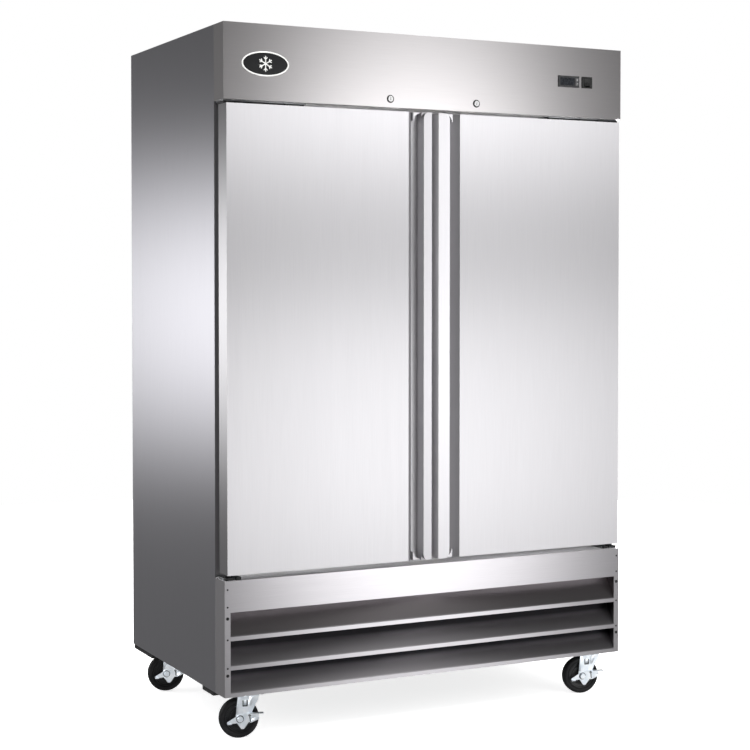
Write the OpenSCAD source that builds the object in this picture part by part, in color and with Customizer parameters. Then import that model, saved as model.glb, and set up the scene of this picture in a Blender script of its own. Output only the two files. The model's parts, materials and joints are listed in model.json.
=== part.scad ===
// Two-door reach-in refrigerator on swivel casters: a foamed stainless cabinet with the
// condensing unit under it, the evaporator inside its top and full-height recessed door handles.
// Origin: centre of the bounding box at floor level. +X right, -Y front, +Z up, millimetres.
// Depths named *_d are measured backwards from the face of the header.

/* [Cabinet] */
// Width over the side panels
body_w = 1372; // [1240:4:1500]
// Depth from the face of the header to the rear panel
body_d = 825; // [815:5:880]
// Height from the floor to the top
body_h = 2083; // [2060:1:2140]
// Height of the underside of the cabinet above the floor
under_z = 135; // [135:1:140]
// Height of the base that houses the condensing unit
base_h = 339; // [330:1:350]
// Depth of the header, the door zone and the base in front of the side panels
front_d = 75; // [75:1:80]
// Thickness of the insulated walls
wall_t = 54; // [48:1:60]
// Thickness of the stainless sheet
sheet_t = 1.2; // [1:0.1:1.5]

/* [Doors] */
// Height of each door
door_h = 1361; // [1340:1:1370]
// Gap between a door and the base below it
gap_under = 16; // [15:0.5:18]
// Gap between a door and the header above it
gap_over = 11; // [11:0.5:13]
// Distance of a door's hinge edge in from the side of the cabinet
door_inset = 7.5; // [6:0.5:10]
// Half of the gap between the two doors
door_meet = 12; // [10:1:14]
// How far the door face stands in front of the header face
door_proud = 4; // [2:0.5:5]
// Distance of the hinge pins in from the side of the cabinet
pivot_inset = 22; // [20:1:24]
// Depth of the hinge pins behind the header face
pivot_d = 28; // [26:1:30]
// Radius of the hinge pins
pin_r = 6; // [5:0.5:7]

/* [Handles] */
// Distance from the cabinet's centre to the outer edge of the finger recess
recess_x = 89; // [84:1:96]
// Distance from the cabinet's centre to the foot of the recess's sloping side
recess_foot_x = 66; // [62:1:70]
// Depth of the finger recess behind the door face
recess_depth = 27; // [22:1:30]
// Distance from the cabinet's centre to the pulling face of the handle
grip_x = 45; // [40:1:50]
// How far the handle's free edge stands in front of the door face
grip_proud = 15; // [10:1:18]
// How far the handle's inner edge stands in front of the door face
inner_proud = 5; // [3:1:8]

/* [Controls] */
// Width of the controller's bezel
controller_w = 78; // [74:1:80]
// Height of the two bezels
bezel_h = 36; // [34:1:40]
// Width of the power switch's bezel
switch_w = 38; // [34:1:40]
// Distance from the cabinet's centre to each key lock
lock_x = 149; // [140:1:160]
// Height of the key locks above the header's lower edge
lock_rise = 25; // [24:1:27]

/* [Casters] */
// Diameter of the wheels
wheel_d = 118; // [112:1:118]
// Width of the tread
tread_w = 30; // [26:1:32]
// Distance from the swivel to the axle, seen from above
trail = 22; // [20:1:26]
// Direction in which the wheels point at rest
caster_turn = -12; // [-30:1:30]
// Distance from the cabinet's centre to each swivel
caster_x = 598; // [580:1:610]
// Depth of the front swivels
caster_front_d = 55; // [55:1:70]
// Depth of the rear swivels
caster_rear_d = 690; // [690:1:740]

/* [Shelves] */
// Height of the lowest shelf above the floor
shelf_low_z = 690; // [670:10:710]
// Distance from one shelf to the next
shelf_pitch = 360; // [340:10:370]
// Depth of a shelf from front to back
shelf_d = 590; // [560:10:600]

/* [Hidden] */
$fn = 64;
fit = 0.05;             // radial clearance of a running fit
inlet_proud = 14;       // how far the power inlet stands behind the rear panel
lip = 0.3;              // clearance between neighbouring sheets

half_w = body_w / 2;
face_y = (door_proud + grip_proud - body_d - inlet_proud) / 2;   // y of the header's face
base_top = under_z + base_h;
door_z = [base_top + gap_under, base_top + gap_under + door_h];
header_z = [door_z[1] + gap_over, body_h];
frame_d = front_d;                                  // front plane of the door frame
frame_t = 2;

// doors: plan positions for the right-hand door, x from the centre, d behind the header face
face_d = -door_proud;
door_back = frame_d - 16;
hinge_x = half_w - door_inset;
pivot_x = half_w - pivot_inset;
recess_d = face_d + recess_depth;
grip_d = face_d - grip_proud;
inner_d = face_d - inner_proud;
grip_slope = (inner_d - grip_d) / (grip_x - door_meet);
grip_t = 2;
bevel_shift = sheet_t * tan(atan2(recess_depth, recess_x - recess_foot_x) / 2);
recess_end = 3;                                     // web at each end of the recess
recess_r = recess_foot_x - grip_x;                  // radius of the recess's end corners
end_block = 24;                                     // solid length at each end of the handle
gasket_w = 15;
gasket_x = [17, half_w - 26];
gasket_z = [door_z[0] + 2, door_z[1] - 2];
dam_x = [60, half_w - 74];
dam_z = [door_z[0] + 46, door_z[1] - 40];

// cabinet walls
skin_x = half_w - sheet_t;
liner_t = 0.8;
liner_x = half_w - wall_t;                          // outer face of the liner's side sheets
floor_z = base_top + wall_t;                        // underside of the liner's floor sheet
ceiling_z = body_h - wall_t;                        // top of the liner's ceiling sheet
rear_in_d = body_d - wall_t;                        // rear face of the liner's back sheet
opening_z = [floor_z + 4, door_z[1] - 19];          // lower and upper edge of the door openings
mullion_x = 36;
mullion_z = [opening_z[0] + lip, opening_z[1] - lip];
header_wall_d = 127;                                // back of the insulated wall behind the header

// header fittings
lock_z = header_z[0] + lock_rise;
lock_r = 8;
cam_len = lock_rise + gap_over + 10;
cam_d = [14.2, 16.2];
control_z = body_h - 110;
controller_x = 486.5;
switch_x = 555.5;
button_w = 10;
button_travel = 0.8;
button_x = controller_x + 30;
button_zs = [control_z + 6.5, control_z - 6.5];
rocker_d = 4;
rocker_rest = -7;                                   // tilt of the rocker when switched off
trunnion_r = 1.5;
badge_x = 130 - half_w;
badge_z = body_h - 115;

// base
band_h = 92;
upright_w = 18;
strip_h = 12;
louvre_tops = [base_top - 163, base_top - 248, under_z + strip_h];
louvre_depth = 45;
louvre_rise = 66;
rail_z = [under_z - 14, under_z - 0.2];
rail_t = 3;
rail_spans = [[caster_front_d + 43, 187], [body_d - 183, body_d - 6]];
plate_half = [47, 41];                              // half sizes of a caster's mounting plate
pan_z = [under_z + 0.2, under_z + 2.2];

// casters: x along the rolling direction, y along the axle, z from the floor
wheel_r = wheel_d / 2;
hub_w = 34;
axle_r = 5;
leg_y = [hub_w / 2 + 1, hub_w / 2 + 4];
crown_x = [-28, 36];                                // ends of the fork's crown
crown_z = [wheel_d + 7.5, wheel_d + 10.5];
race_z = [wheel_d + 11, wheel_d + 14];
plate_z = [wheel_d + 14, wheel_d + 17];
rivet_r = 8;
lever_y = [-leg_y[1] - 3, -leg_y[1] - 0.4];

// condensing unit
coil_x = [-420, -60];
coil_d = [110, 170];
coil_z = [146, 420];
fan_x = (coil_x[0] + coil_x[1]) / 2;
fan_z = (coil_z[0] + coil_z[1]) / 2;
ring_r = 118;
comp_x = 330;
comp_d = 470;
comp_r = 78;
comp_z = [pan_z[1] + 16, pan_z[1] + 196];
discharge_x = comp_x - comp_r - 6;
discharge_z = comp_z[0] + 70;
suction_d = comp_d + 66;
suction_z = comp_z[0] + 40;
inlet_x = 560;
inlet_z = 320;

// evaporator inside the top of the cabinet
evap_x = 450;
evap_d = [440, rear_in_d - 3];
evap_z = [ceiling_z - 134, ceiling_z - 3];
evap_fan_x = 215;
evap_fan_z = ceiling_z - 68;
evap_ring_r = 58;

// shelves
shelf_x = [22, liner_x - 14];
shelf_zs = [for (i = [0:2]) shelf_low_z + i * shelf_pitch];
shelf_front_d = 138;
shelf_back_d = shelf_front_d + shelf_d;
standard_z = [floor_z + 60, evap_z[0] - 60];

CASTERS = [["front_left", -1, 0], ["front_right", 1, 0], ["rear_left", -1, 1], ["rear_right", 1, 1]];

// ---------- shared shapes ----------

// A box given by its limits in x, in depth behind the header face, and in z
module slab(x, d, z)
    translate([x[0], face_y + d[0], z[0]])
        cube([x[1] - x[0], d[1] - d[0], z[1] - z[0]]);

// A vertical prism whose outline is given in x and depth
module plan_prism(points, z)
    translate([0, face_y, z[0]])
        linear_extrude(z[1] - z[0])
            polygon(points);

// A prism along x whose outline is given in depth and z
module side_prism(points, x)
    translate([x[0], face_y, 0])
        rotate([90, 0, 90])
            linear_extrude(x[1] - x[0])
                polygon(points);

// Round rods along each axis
module rod_x(x, d, z, r)
    translate([x[0], face_y + d, z])
        rotate([0, 90, 0])
            cylinder(h = x[1] - x[0], r = r);

module rod_y(x, d, z, r)
    translate([x, face_y + d[0], z])
        rotate([-90, 0, 0])
            cylinder(h = d[1] - d[0], r = r);

module rod_z(x, d, z, r)
    translate([x, face_y + d, z[0]])
        cylinder(h = z[1] - z[0], r = r);

// The children as drawn for the right-hand side, or mirrored for the left
module on_side(side) {
    if (side < 0) mirror([1, 0, 0]) children();
    else children();
}

module both_sides()
    for (side = [-1, 1])
        on_side(side) children();

// ---------- cabinet ----------

module side_panel(side)
    color("silver")
        on_side(side)
            slab([skin_x, half_w], [frame_d, body_d - 1.2], [under_z, body_h]);

module rear_panel()
    color("lightgray")
        difference() {
            slab([-half_w, half_w], [body_d - 1, body_d], [under_z, body_h]);
            for (column = [-1, 0, 1], row = [0:11])
                slab([column * 380 - 130, column * 380 + 130], [body_d - 2, body_d + 1],
                    [under_z + 40 + row * 22, under_z + 50 + row * 22]);
            rod_y(inlet_x, [body_d - 2, body_d + 1], inlet_z, 11.2);
        }

module top_panel()
    color("silver")
        slab([lip - skin_x, skin_x - lip], [frame_d + lip, body_d - 1.2],
            [body_h - sheet_t, body_h]);

module floor_pan()
    color("lightgray")
        slab([lip - skin_x, skin_x - lip], [frame_d + lip, body_d - 1.2],
            [base_top, base_top + sheet_t]);

module insulation() {
    inside_x = liner_x + lip;
    behind = [frame_d + frame_t + lip, body_d - 1.5];
    tall = [base_top + sheet_t + lip, body_h - sheet_t - lip];
    color("khaki") {
        both_sides()
            slab([inside_x, skin_x - lip], behind, tall);
        slab([lip - inside_x, inside_x - lip], [rear_in_d + lip, behind[1]], tall);
        slab([lip - inside_x, inside_x - lip], [behind[0], rear_in_d],
            [ceiling_z + lip, tall[1]]);
        slab([lip - inside_x, inside_x - lip], [behind[0], rear_in_d], [tall[0], floor_z - lip]);
        slab([-liner_x + liner_t + lip, liner_x - liner_t - lip], [behind[0], header_wall_d],
            [header_z[0], ceiling_z - liner_t - lip]);
    }
}

module inner_liner() {
    inside_x = liner_x - liner_t - lip;
    deep = [frame_d + frame_t + lip, rear_in_d - liner_t - lip];
    tall = [floor_z, ceiling_z];
    color("gainsboro") {
        both_sides()
            slab([liner_x - liner_t, liner_x], [deep[0], rear_in_d], tall);
        slab([-inside_x, inside_x], [rear_in_d - liner_t, rear_in_d], tall);
        slab([-inside_x, inside_x], deep, [ceiling_z - liner_t, ceiling_z]);
        slab([-inside_x, inside_x], deep, [floor_z, floor_z + liner_t]);
        slab([-inside_x, inside_x], [header_wall_d + lip, header_wall_d + lip + liner_t],
            [header_z[0], ceiling_z - liner_t - lip]);
    }
}

// Door frame: two stiles, two rails and the mullion between the openings
module face_frame() {
    front = [frame_d, frame_d + frame_t];
    color("gray") {
        both_sides()
            slab([liner_x + lip, skin_x - lip], front, [base_top + sheet_t + lip, header_z[0]]);
        slab([-liner_x, liner_x], front, [base_top + sheet_t + lip, opening_z[0]]);
        union() {
            slab([-liner_x, liner_x], front, [opening_z[1], header_z[0]]);
            slab([2 - liner_x, liner_x - 2], [frame_d, header_wall_d + 1],
                [opening_z[1], opening_z[1] + frame_t]);
        }
        difference() {
            slab([-mullion_x, mullion_x], [frame_d, frame_d + 50], mullion_z);
            slab([frame_t - mullion_x, mullion_x - frame_t],
                [frame_d + frame_t, frame_d + 50 - frame_t],
                [mullion_z[0] + frame_t, mullion_z[1] - frame_t]);
        }
    }
}

module header_panel()
    color("silver")
        difference() {
            slab([-half_w, half_w], [0, front_d - lip], header_z);
            slab([-skin_x, skin_x], [sheet_t, front_d], [header_z[0] + sheet_t, body_h - sheet_t]);
            slab([controller_x - 36, controller_x + 36], [-1, 5],
                [control_z - 15, control_z + 15]);
            slab([switch_x - 15, switch_x + 15], [-1, 5], [control_z - 16, control_z + 16]);
            both_sides() {
                rod_y(lock_x, [-1, 5], lock_z, lock_r + 2);
                slab([lock_x - cam_len, lock_x + 9], [cam_d[0] - 3, cam_d[1] + 4],
                    [header_z[0] - 1, header_z[0] + 3]);
            }
        }

// One louvre: a bright vertical strip folded into a blade that slopes up and back
module louvre(top_z)
    side_prism([[0, top_z - strip_h], [sheet_t, top_z - strip_h], [sheet_t, top_z - 0.5],
        [louvre_depth + 0.9, top_z + louvre_rise - 0.8], [louvre_depth, top_z + louvre_rise],
        [0, top_z]],
        [-half_w + upright_w - 1, half_w - upright_w + 1]);

module base_grille() {
    band_z = [base_top - band_h, base_top];
    color("silver")
        union() {
            slab([-half_w, half_w], [0, sheet_t], band_z);
            slab([-half_w, half_w], [0, front_d - lip], [base_top - sheet_t, base_top]);
            slab([-half_w + 1, half_w - 1], [0, 16], [band_z[0], band_z[0] + sheet_t]);
            both_sides() {
                slab([half_w - upright_w, half_w], [0, sheet_t], [under_z, base_top]);
                slab([skin_x, half_w], [0, front_d - lip], [under_z, base_top]);
                slab([half_w - upright_w, half_w - upright_w + sheet_t], [0, 48],
                    [under_z, base_top]);
            }
            for (top_z = louvre_tops)
                louvre(top_z);
        }
}

// Floor of the base, with a narrower tongue that reaches forward over the front casters
module base_pan() {
    tongue_x = half_w - upright_w - 2;
    color("lightgray")
        union() {
            slab([lip - skin_x, skin_x - lip], [frame_d + lip, body_d - 1.2], pan_z);
            slab([-tongue_x, tongue_x], [3, frame_d + 1], pan_z);
        }
}

// Two black channels under the cabinet, closed at their ends, with windows over the rear casters
module base_rails()
    color("#1c1c1e")
        for (span = rail_spans)
            difference() {
                slab([2 - half_w, half_w - 2], span, rail_z);
                slab([2 - half_w + rail_t, half_w - 2 - rail_t],
                    [span[0] + rail_t, span[1] - rail_t], [rail_z[0] - 1, rail_z[1] - rail_t]);
                both_sides()
                    slab([caster_x - plate_half[0] - 1, caster_x + plate_half[0] + 1],
                        [caster_rear_d - plate_half[1] - 1, caster_rear_d + plate_half[1] + 1],
                        [rail_z[0] - 1, rail_z[1] + 1]);
            }

module badge()
    color("black")
        translate([badge_x, face_y, badge_z])
            rotate([90, 0, 0])
                linear_extrude(2)
                    polygon([for (a = [0:5:355]) [74 * cos(a), 36 * sin(a)]]);

// ---------- doors ----------

// Vertical clearance bores round the two hinge pins
module pin_bores(r, depth) {
    rod_z(pivot_x, pivot_d, [door_z[0] - 1, door_z[0] + depth], r);
    rod_z(pivot_x, pivot_d, [door_z[1] - depth, door_z[1] + 1], r);
}

// Slot in the door's top that the lock's cam turns into
module cam_slot(depth)
    slab([lock_x - cam_len + 12, lock_x + 9], [cam_d[0] - 3, cam_d[1] + 4],
        [door_z[1] - depth, door_z[1] + 1]);

// Closes one end of the finger recess with a web and a rounded corner
module recess_corner(low) {
    step_d = face_d + 9;
    web_z = low ? door_z[0] : door_z[1] - recess_end - recess_r;
    centre_z = low ? door_z[0] + recess_end + recess_r : door_z[1] - recess_end - recess_r;
    difference() {
        slab([grip_x + 0.2, recess_foot_x + 2], [step_d, recess_d + 0.4],
            [web_z, web_z + recess_end + recess_r]);
        rod_y(grip_x + 0.2, [step_d - 1, recess_d + 1], centre_z, recess_r);
    }
}

module door_skin(side)
    color("silver")
        on_side(side)
            union() {
                difference() {
                    plan_prism([[hinge_x, door_back], [hinge_x, face_d], [recess_x, face_d],
                        [recess_foot_x, recess_d], [grip_x + 0.2, recess_d],
                        [grip_x + 0.2, door_back]], door_z);
                    plan_prism([[hinge_x - sheet_t, door_back + 1],
                        [hinge_x - sheet_t, face_d + sheet_t],
                        [recess_x + bevel_shift, face_d + sheet_t],
                        [recess_foot_x + bevel_shift, recess_d + sheet_t],
                        [grip_x - 1, recess_d + sheet_t], [grip_x - 1, door_back + 1]],
                        [door_z[0] + sheet_t, door_z[1] - sheet_t]);
                    pin_bores(pin_r + fit, 5);
                    cam_slot(5);
                }
                recess_corner(true);
                recess_corner(false);
            }

// Full-height folded handle at the meeting edge, with rounded outer corners
module door_handle(side) {
    far_d = grip_d + grip_slope * grip_t + 2.1;
    near_d = inner_d - grip_slope * grip_t + 2.1;
    corner_r = 20;
    color("silver")
        on_side(side)
            difference() {
                union() {
                    plan_prism([[door_meet, door_back], [door_meet, inner_d], [grip_x, grip_d],
                        [grip_x, recess_d + 2], [grip_x - grip_t, recess_d + 2],
                        [grip_x - grip_t, far_d], [door_meet + grip_t, near_d],
                        [door_meet + grip_t, door_back]], door_z);
                    for (z = [door_z[0], door_z[1] - end_block])
                        plan_prism([[door_meet, recess_d + 2], [door_meet, inner_d],
                            [grip_x, grip_d], [grip_x, recess_d + 2]], [z, z + end_block]);
                }
                for (low = [true, false]) {
                    edge_z = low ? door_z[0] - 1 : door_z[1] - corner_r;
                    centre_z = low ? door_z[0] + corner_r : door_z[1] - corner_r;
                    difference() {
                        slab([grip_x - corner_r, grip_x + 1], [grip_d - 2, face_d],
                            [edge_z, edge_z + corner_r + 1]);
                        rod_y(grip_x - corner_r, [grip_d - 3, face_d + 1], centre_z, corner_r);
                    }
                }
            }
}

// Foam core in two blocks, one behind the handle recess and one filling the door's face
module door_insulation(side) {
    split_d = recess_d + 2.4;
    inner_z = [door_z[0] + sheet_t + lip, door_z[1] - sheet_t - lip];
    far_x = hinge_x - sheet_t - lip;
    color("khaki")
        on_side(side)
            difference() {
                union() {
                    slab([door_meet + grip_t + 0.4, far_x], [split_d + lip, door_back - lip],
                        inner_z);
                    plan_prism([[recess_foot_x + 2.5, split_d],
                        [recess_x + 2.5, face_d + sheet_t + lip],
                        [far_x, face_d + sheet_t + lip], [far_x, split_d]], inner_z);
                }
                pin_bores(pin_r + 2, 32);
                cam_slot(16);
            }
}

// Inner door sheet with a raised dam that the gasket surrounds
module door_liner(side) {
    sheet_d = [door_back + 0.2, door_back + 1.4];
    color("gainsboro")
        on_side(side)
            difference() {
                union() {
                    slab([door_meet + 1, hinge_x - 0.5], sheet_d,
                        [door_z[0] + 0.5, door_z[1] - 0.5]);
                    slab(dam_x, [sheet_d[0], sheet_d[1] + 10], dam_z);
                }
                slab([dam_x[0] + sheet_t, dam_x[1] - sheet_t], [door_back - 1, sheet_d[1] + 8.8],
                    [dam_z[0] + sheet_t, dam_z[1] - sheet_t]);
            }
}

module door_gasket(side) {
    seal_d = [door_back + 1.6, frame_d - lip];
    color("#202022")
        on_side(side)
            difference() {
                slab(gasket_x, seal_d, gasket_z);
                slab([gasket_x[0] + gasket_w, gasket_x[1] - gasket_w],
                    [seal_d[0] - 1, seal_d[1] + 1],
                    [gasket_z[0] + gasket_w, gasket_z[1] - gasket_w]);
            }
}

// Hinge plates in the gaps above and below the doors, with their pins and their bolts
module hinge_brackets() {
    plate_d = [14, frame_d - lip];
    top_z = [header_z[0] - 4.3, header_z[0] - lip];
    low_z = [base_top + lip, base_top + 6.3];
    color("#2a2a2c")
        both_sides() {
            slab([half_w - 266, half_w - 4], plate_d, top_z);
            slab([half_w - 146, half_w - 76], [18, frame_d - 4], [top_z[0] - 4.5, top_z[0]]);
            for (x = [half_w - 256, half_w - 206])
                rod_z(x, 30, [top_z[0] - 4, top_z[0]], 7);
            rod_z(pivot_x, pivot_d, [door_z[1] - 22, top_z[0]], pin_r);
            slab([half_w - 58, half_w - 4], plate_d, low_z);
            rod_z(pivot_x, pivot_d, [low_z[1], door_z[0] - 0.4], 12);
            rod_z(pivot_x, pivot_d, [low_z[1], door_z[0] + 26], pin_r);
        }
}

// ---------- locks and controls ----------

module lock_rings()
    color("lightgray")
        both_sides()
            difference() {
                union() {
                    rod_y(lock_x, [-2.5, 0], lock_z, 12);
                    rod_y(lock_x, [-0.5, 13], lock_z, lock_r + 1.9);
                }
                rod_y(lock_x, [-3, 14], lock_z, lock_r + fit);
            }

// Key plug with its cam, which turns down into the top of the door
module lock_cylinder(side)
    color("gray")
        on_side(side)
            difference() {
                union() {
                    rod_y(lock_x, [-3, cam_d[1]], lock_z, lock_r);
                    slab([lock_x - cam_len, lock_x], cam_d, [lock_z - 6, lock_z + 6]);
                }
                slab([lock_x - 1.2, lock_x + 1.2], [-4, 1], [lock_z - 4.5, lock_z + 4.5]);
            }

module controller_bezel() {
    wide = [controller_x - controller_w / 2, controller_x + controller_w / 2];
    color("dimgray")
        difference() {
            union() {
                slab(wide, [-3, 0], [control_z - bezel_h / 2, control_z + bezel_h / 2]);
                slab([controller_x - 35, controller_x + 35], [-1, 50],
                    [control_z - 14, control_z + 14]);
            }
            slab([controller_x - 33, controller_x + 21], [-4, -1],
                [control_z - 12, control_z + 12]);
            for (z = button_zs)
                slab([button_x - button_w / 2 - 0.3, button_x + button_w / 2 + 0.3],
                    [-4, 0.8 + button_travel], [z - 5.3, z + 5.3]);
        }
}

module controller_display()
    color("#101418")
        slab([controller_x - 32.7, controller_x + 20.7], [-2.6, -1.1],
            [control_z - 11.7, control_z + 11.7]);

module controller_button(z)
    color("darkgray")
        slab([button_x - button_w / 2, button_x + button_w / 2], [-4, 0.4], [z - 5, z + 5]);

module switch_bezel()
    color("#1c1c1e")
        difference() {
            union() {
                slab([switch_x - switch_w / 2, switch_x + switch_w / 2], [-3, 0],
                    [control_z - bezel_h / 2, control_z + bezel_h / 2]);
                slab([switch_x - 14, switch_x + 14], [-1, 24], [control_z - 15.5, control_z + 15.5]);
            }
            slab([switch_x - 11, switch_x + 11], [-4, 20], [control_z - 14.2, control_z + 14.2]);
            rod_x([switch_x - 13, switch_x + 13], rocker_d, control_z, trunnion_r + fit);
        }

// Rocker with a shallow V-shaped face and two trunnions, resting in its off position
module switch_rocker()
    color("#262628")
        union() {
            translate([0, face_y + rocker_d, control_z])
                rotate([rocker_rest, 0, 0])
                    translate([0, -face_y, 0])
                        side_prism([[-9, -12.4], [-7, 0], [-9, 12.4], [0, 11.5], [7, 0],
                            [0, -11.5]], [switch_x - 10.4, switch_x + 10.4]);
            rod_x([switch_x - 12.6, switch_x + 12.6], rocker_d, control_z, trunnion_r);
        }

// ---------- condensing unit ----------

module compressor() {
    foot_z = comp_z[0] - 3;
    color("#222428")
        union() {
            translate([comp_x, face_y + comp_d, 0])
                rotate_extrude()
                    difference() {
                        union() {
                            translate([0, comp_z[0]]) square([comp_r, comp_z[1] - comp_z[0] - 50]);
                            translate([0, comp_z[1] - 50]) square([comp_r - 50, 50]);
                            translate([comp_r - 50, comp_z[1] - 50]) circle(50);
                        }
                        translate([-60, 0]) square([60, 600]);
                    }
            slab([comp_x - 105, comp_x + 105], [comp_d - 70, comp_d + 70], [foot_z, foot_z + 4]);
            slab([comp_x - 25, comp_x + 35], [comp_d - comp_r - 24, comp_d - comp_r + 14],
                [comp_z[0] + 60, comp_z[0] + 120]);
            for (x = [-88, 88], y = [-54, 54])
                rod_z(comp_x + x, comp_d + y, [pan_z[1] + 0.1, foot_z + 1], 12);
            rod_x([discharge_x, comp_x - comp_r + 10], comp_d - 20, discharge_z, 6.5);
            rod_y(comp_x + 60, [comp_d + 40, suction_d], suction_z, 8);
        }
}

// Finned block between two tube plates, with return bends at both ends
module condenser_coil()
    color("#8a8f94")
        union() {
            slab([coil_x[0] + 12, coil_x[1] - 12], coil_d, coil_z);
            for (x = [coil_x[0] + 10, coil_x[1] - 12])
                slab([x, x + 2], [coil_d[0] - 4, coil_d[1]], [coil_z[0] - 6, coil_z[1] + 6]);
            for (side = [0, 1], row = [0:4])
                translate([side == 0 ? coil_x[0] + 11 : coil_x[1] - 11,
                    face_y + (coil_d[0] + coil_d[1]) / 2, coil_z[0] + 40 + row * 48])
                    rotate([90, side == 0 ? 90 : -90, 0])
                        rotate_extrude(angle = 180)
                            translate([12, 0]) circle(4.5);
        }

// Sheet shroud behind the coil, with the fan motor on three arms
module condenser_shroud() {
    plate_d = coil_d[1] + 0.3;
    color("#54585c")
        union() {
            difference() {
                slab([coil_x[0] + 12, coil_x[1] - 12], [plate_d, plate_d + 44], coil_z);
                slab([coil_x[0] + 14, coil_x[1] - 14], [plate_d - 1, plate_d + 42],
                    [coil_z[0] + 2, coil_z[1] - 2]);
                rod_y(fan_x, [plate_d + 30, plate_d + 60], fan_z, ring_r);
            }
            for (a = [90, 210, 330])
                translate([fan_x, face_y + plate_d + 43, fan_z])
                    rotate([0, a, 0])
                        translate([30, 0, -6]) cube([ring_r - 24, 6, 12]);
            rod_y(fan_x, [plate_d + 46, plate_d + 110], fan_z, 42);
            rod_y(fan_x, [plate_d + 14, plate_d + 48], fan_z, 4);
        }
}

// Axial rotor: hub and pitched flat blades
module rotor(x, d, z, tip_r, hub_r, depth, shaft_r, blades)
    translate([x, face_y + d, z])
        difference() {
            union() {
                rotate([-90, 0, 0]) cylinder(h = depth, r = hub_r);
                for (i = [0:blades - 1])
                    rotate([0, i * 360 / blades, 0])
                        translate([hub_r - 3, depth / 2, 0])
                            rotate([28, 0, 0])
                                translate([0, -1, -hub_r * 0.9])
                                    cube([tip_r - hub_r + 3, 2, hub_r * 1.8]);
            }
            translate([0, -1, 0])
                rotate([-90, 0, 0]) cylinder(h = depth + 2, r = shaft_r + fit);
        }

module condenser_fan()
    color("#3a3c40")
        rotor(fan_x, coil_d[1] + 16, fan_z, 104, 22, 22, 4, 5);

// Discharge, liquid and suction lines with the filter drier
module refrigerant_lines() {
    line_x = coil_x[1] + 2;
    join_z = coil_z[1] - 38;
    riser_d = 780;
    color("#b87333")
        union() {
            rod_y(comp_x + 60, [suction_d + 0.1, riser_d], suction_z, 5);
            rod_z(comp_x + 60, riser_d, [suction_z, base_top - 6], 5);
            translate([comp_x + 60, face_y + riser_d, suction_z]) sphere(6.5);
            rod_x([line_x, discharge_x - 0.1], comp_d - 20, discharge_z, 4);
            rod_y(line_x, [140, comp_d - 20], discharge_z, 4);
            rod_z(line_x, 140, [discharge_z, join_z], 4);
            for (d = [140, comp_d - 20])
                translate([line_x, face_y + d, discharge_z]) sphere(5.5);
            rod_y(line_x, [250, 380], discharge_z, 14);
        }
}

// Shallow tray that catches and evaporates the defrost water
module condensate_pan()
    color("gainsboro")
        difference() {
            slab([-420, -60], [560, 780], [pan_z[1] + 1, pan_z[1] + 51]);
            slab([-418, -62], [562, 778], [pan_z[1] + 3, pan_z[1] + 60]);
        }

// Cable gland through the rear panel
module power_inlet()
    color("#1c1c1e")
        difference() {
            union() {
                rod_y(inlet_x, [body_d - 12, body_d + inlet_proud], inlet_z, 11);
                rod_y(inlet_x, [body_d + 0.1, body_d + 5], inlet_z, 17);
                rod_y(inlet_x, [body_d - 8, body_d - 1.2], inlet_z, 16);
            }
            rod_y(inlet_x, [body_d - 14, body_d + inlet_proud + 1], inlet_z, 5.5);
        }

// ---------- evaporator ----------

module evaporator_housing()
    color("gainsboro")
        difference() {
            slab([-evap_x, evap_x], evap_d, evap_z);
            slab([-evap_x + 1.5, evap_x - 1.5], [evap_d[0] + 1.5, evap_d[1] - 1.5],
                [evap_z[0] + 1.5, evap_z[1] + 1]);
            both_sides()
                rod_y(evap_fan_x, [evap_d[0] - 1, evap_d[0] + 4], evap_fan_z, evap_ring_r);
            slab([-evap_x + 60, evap_x - 60], [evap_d[1] - 60, evap_d[1] - 20],
                [evap_z[0] - 1, evap_z[0] + 4]);
        }

module evaporator_coil()
    color("lightsteelblue")
        union() {
            slab([-400, 400], [evap_d[0] + 110, evap_d[0] + 230], [evap_z[0] + 20, evap_z[1] - 16]);
            for (x = [-402, 400])
                slab([x, x + 2], [evap_d[0] + 104, evap_d[0] + 236],
                    [evap_z[0] + 14, evap_z[1] - 10]);
        }

// Two fan motors on brackets fixed behind the front of the housing
module evaporator_motors()
    color("dimgray")
        both_sides()
            union() {
                rod_y(evap_fan_x, [evap_d[0] + 34, evap_d[0] + 84], evap_fan_z, 30);
                rod_y(evap_fan_x, [evap_d[0] + 6, evap_d[0] + 36], evap_fan_z, 3);
                slab([evap_fan_x - 72, evap_fan_x + 72], [evap_d[0] + 34, evap_d[0] + 37],
                    [evap_fan_z - 9, evap_fan_z + 9]);
                for (x = [evap_fan_x - 72, evap_fan_x + 69])
                    slab([x, x + 3], [evap_d[0] + 1.8, evap_d[0] + 36],
                        [evap_fan_z - 9, evap_fan_z + 9]);
            }

module evaporator_fan(side)
    color("#3a3c40")
        rotor(side * evap_fan_x, evap_d[0] + 8, evap_fan_z, 52, 13, 18, 3, 5);

// ---------- shelves ----------

// A slotted standard drawn by its own limits, standing out from the wall towards +x or -x
module standard(x, d) {
    difference() {
        slab(x, d, standard_z);
        for (z = [standard_z[0] + 30:60:standard_z[1] - 30])
            slab([x[0] - 1, x[1] + 1], [(d[0] + d[1]) / 2 - 3, (d[0] + d[1]) / 2 + 3],
                [z, z + 14]);
    }
}

// Clip under one corner of every shelf of a bay
module shelf_clips(x, d)
    for (z = shelf_zs)
        slab(x, d, [z - 9, z - 4.3]);

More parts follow.
